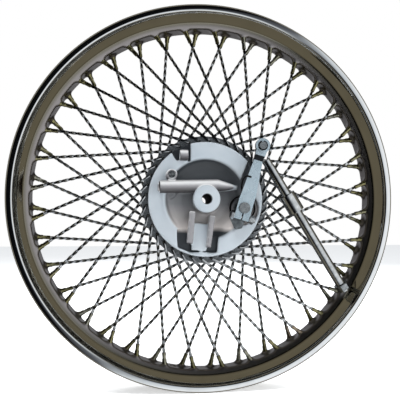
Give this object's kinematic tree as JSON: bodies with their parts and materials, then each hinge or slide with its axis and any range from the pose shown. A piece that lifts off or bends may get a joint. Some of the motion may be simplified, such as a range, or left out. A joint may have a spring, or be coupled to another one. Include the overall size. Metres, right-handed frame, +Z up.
{
  "type": "spoked wheel",
  "caption": "Laced front wheel with chromed rim, twisted wire spokes, drum-brake hub, brake panel with cam arm and speedometer drive, and its loose axle with nut and collar.",
  "frame": {"origin": "wheel centre: where the axle line meets the rim's middle plane", "axes": "+Z up, Y along the axle line with the brake panel towards -Y, +X right as seen from the panel side"},
  "size_m": [0.485, 0.0859, 0.485],
  "materials": {
    "rim_chrome": "bright chrome plate, faint warm tint on the side walls",
    "spoke_steel": "bright zinc on twisted steel wire",
    "nipple_plate": "yellow zinc plate, olive to brass",
    "hub_aluminium": "die cast, satin",
    "panel_paint": "silver paint on die-cast aluminium",
    "cast_iron": "turned",
    "bearing_steel": "ground",
    "cage_steel": "pressed",
    "plain_steel": "turned",
    "zinc_steel": "bright zinc plate, faint blue",
    "arm_zinc": "blue-white zinc plate",
    "spring_steel": "oiled black",
    "seal_rubber": "matt black",
    "felt": "oiled felt",
    "gear_nylon": "natural nylon",
    "bush_bronze": "sintered bronze",
    "shoe_alloy": "as cast",
    "lining": "moulded friction material",
    "collar_steel": "turned, bright"
  },
  "bodies": {
    "panel": {"brake_panel": "panel_paint", "speedo_pinion_bush": "bush_bronze", "speedo_bush_screw": "zinc_steel", "anchor_pin": "plain_steel", "cam_felt_seal": "felt", "bearing_inner_races": "bearing_steel", "distance_tube": "plain_steel", "speedo_gear_sleeve": "plain_steel"},
    "wheel": {"rim": "rim_chrome", "spokes_brake_side": "spoke_steel", "spokes_plain_side": "spoke_steel", "nipples_brake_side": "nipple_plate", "nipples_plain_side": "nipple_plate", "hub_shell": "hub_aluminium", "drum_liner": "cast_iron", "bearing_outer_races": "bearing_steel", "dust_seal": "seal_rubber", "speedo_drive_ring": "plain_steel", "speedo_drive_gear": "gear_nylon"},
    "ball_sets": {"bearing_balls": "bearing_steel", "bearing_cages": "cage_steel"},
    "pinion": {"speedo_pinion": "plain_steel"},
    "cam_and_arm": {"brake_cam": "plain_steel", "wear_indicator": "zinc_steel", "cam_return_spring": "spring_steel", "brake_arm": "arm_zinc", "pinch_bolt": "zinc_steel", "pinch_washer": "zinc_steel", "pinch_nut": "zinc_steel"},
    "arm_pin": {"cable_pin": "zinc_steel", "cable_pin_clip": "spring_steel"},
    "upper_shoe": {"brake_shoe_upper": "shoe_alloy", "brake_lining_upper": "lining", "shoe_spring_cam_end": "spring_steel", "shoe_spring_pin_end": "spring_steel"},
    "lower_shoe": {"brake_shoe_lower": "shoe_alloy", "brake_lining_lower": "lining"},
    "axle_set": {"loose_axle": "zinc_steel", "axle_nut": "zinc_steel"},
    "collar": {"axle_collar": "collar_steel"}
  },
  "joints": [
    {"name": "wheel_spin", "type": "hinge", "parent": "panel", "child": "wheel", "pos_m": [0, 0, 0], "axis": [0, 1, 0], "continuous": true},
    {"name": "balls_roll", "type": "hinge", "parent": "panel", "child": "ball_sets", "pos_m": [0, 0, 0], "axis": [0, 1, 0], "continuous": true},
    {"name": "pinion_spin", "type": "hinge", "parent": "panel", "child": "pinion", "pos_m": [-0.00058, -0.026, 0.01659], "axis": [0.9919, 0.1219, 0.0346], "continuous": true},
    {"name": "cam_turn", "type": "hinge", "parent": "panel", "child": "cam_and_arm", "pos_m": [0.04609, 0, -0.01107], "axis": [0, -1, 0], "range_deg": [0, 12], "stiffness_Nm_per_rad": 0.4, "springref_deg": -20.05},
    {"name": "cable_pin_swivel", "type": "hinge", "parent": "cam_and_arm", "child": "arm_pin", "pos_m": [0.06733, 0, 0.06451], "axis": [0, 1, 0], "range_deg": [-30, 30]},
    {"name": "upper_shoe_swing", "type": "hinge", "parent": "panel", "child": "upper_shoe", "pos_m": [-0.04609, 0, 0.01107], "axis": [0, -1, 0], "range_deg": [0, 0.8]},
    {"name": "lower_shoe_swing", "type": "hinge", "parent": "panel", "child": "lower_shoe", "pos_m": [-0.04609, 0, 0.01107], "axis": [0, 1, 0], "range_deg": [0, 0.8]},
    {"name": "axle_lift_off", "type": "slide", "parent": "panel", "child": "axle_set", "axis": [0, -1, 0], "range_m": [0, 0.08]},
    {"name": "collar_slide", "type": "slide", "parent": "axle_set", "child": "collar", "axis": [0.5369, 0.0366, -0.8428], "range_m": [-0.036, 0.1]}
  ],
  "couplings": [
    {"joint": "balls_roll", "follows": "wheel_spin", "ratio": 0.661},
    {"joint": "pinion_spin", "follows": "wheel_spin", "ratio": -2},
    {"joint": "upper_shoe_swing", "follows": "cam_turn", "ratio": 0.066667},
    {"joint": "lower_shoe_swing", "follows": "cam_turn", "ratio": 0.066667}
  ]
}
